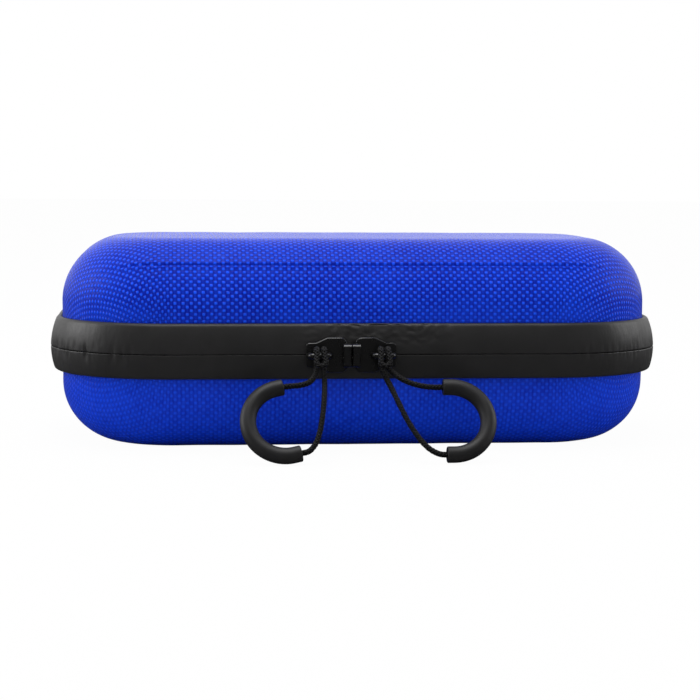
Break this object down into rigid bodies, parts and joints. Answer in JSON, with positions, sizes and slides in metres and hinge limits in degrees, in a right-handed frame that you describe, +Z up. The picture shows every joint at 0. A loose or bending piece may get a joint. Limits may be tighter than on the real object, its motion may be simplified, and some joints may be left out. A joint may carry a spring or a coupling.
{
  "type": "stethoscope hard case",
  "caption": "Rounded hard-shell zip case for a stethoscope: blue woven fabric over moulded foam, black coated zipper band, paired sliders with cord and rubber pulls.",
  "frame": {"origin": "centre of the base's flat underside, on the surface the closed case stands on", "axes": "+X along the case's length, to the viewer's right; -Y towards the front with the sliders; +Z up through the lid"},
  "size_m": [0.2412, 0.1558, 0.0806],
  "materials": {
    "case_fabric": "matte",
    "shell_foam": "matte",
    "lining_knit": "matte",
    "binding_tape": "matte",
    "coated_tape": "satin",
    "zip_coil": "satin",
    "strap_webbing": "matte",
    "net": "matte",
    "slider_enamel": "satin",
    "pull_cord": "matte",
    "grip_rubber": "matte"
  },
  "bodies": {
    "base": {"base_fabric_skin": "case_fabric", "base_foam_shell": "shell_foam", "base_lining": "lining_knit", "base_rim_binding": "binding_tape", "lower_zip_tape": "coated_tape", "lower_zip_coil": "zip_coil", "hinge_strip": "coated_tape", "hinge_lining_strip": "lining_knit", "left_strap_hook_half": "strap_webbing", "left_strap_loop_half": "strap_webbing", "right_strap_hook_half": "strap_webbing", "right_strap_loop_half": "strap_webbing"},
    "lid": {"lid_fabric_skin": "case_fabric", "lid_foam_shell": "shell_foam", "lid_lining": "lining_knit", "lid_rim_binding": "binding_tape", "upper_zip_tape": "coated_tape", "upper_zip_coil": "zip_coil", "lid_mesh_pocket": "net", "mesh_pocket_elastic_hem": "strap_webbing"},
    "left_slider": {"left_slider": "slider_enamel"},
    "right_slider": {"right_slider": "slider_enamel"},
    "left_pull": {"left_pull_cord": "pull_cord", "left_pull_grip": "grip_rubber"},
    "right_pull": {"right_pull_cord": "pull_cord", "right_pull_grip": "grip_rubber"}
  },
  "joints": [
    {"name": "lid_hinge", "type": "hinge", "parent": "base", "child": "lid", "pos_m": [0, 0.0639, 0.0378], "axis": [-1, 0, 0], "range_deg": [0, 170], "deforming": ["hinge_strip", "hinge_lining_strip"]},
    {"name": "left_slider_travel", "type": "slide", "parent": "base", "child": "left_slider", "axis": [-1, 0, 0], "range_m": [0, 0.049], "deforming": ["lower_zip_coil"]},
    {"name": "right_slider_travel", "type": "slide", "parent": "base", "child": "right_slider", "axis": [1, 0, 0], "range_m": [0, 0.061], "deforming": ["upper_zip_coil"]},
    {"name": "left_pull_swing", "type": "hinge", "parent": "left_slider", "child": "left_pull", "pos_m": [-0.018, -0.0693, 0.0378], "axis": [-1, 0, 0], "range_deg": [0, 140]},
    {"name": "right_pull_swing", "type": "hinge", "parent": "right_slider", "child": "right_pull", "pos_m": [0.006, -0.0693, 0.0378], "axis": [-1, 0, 0], "range_deg": [0, 140]}
  ]
}
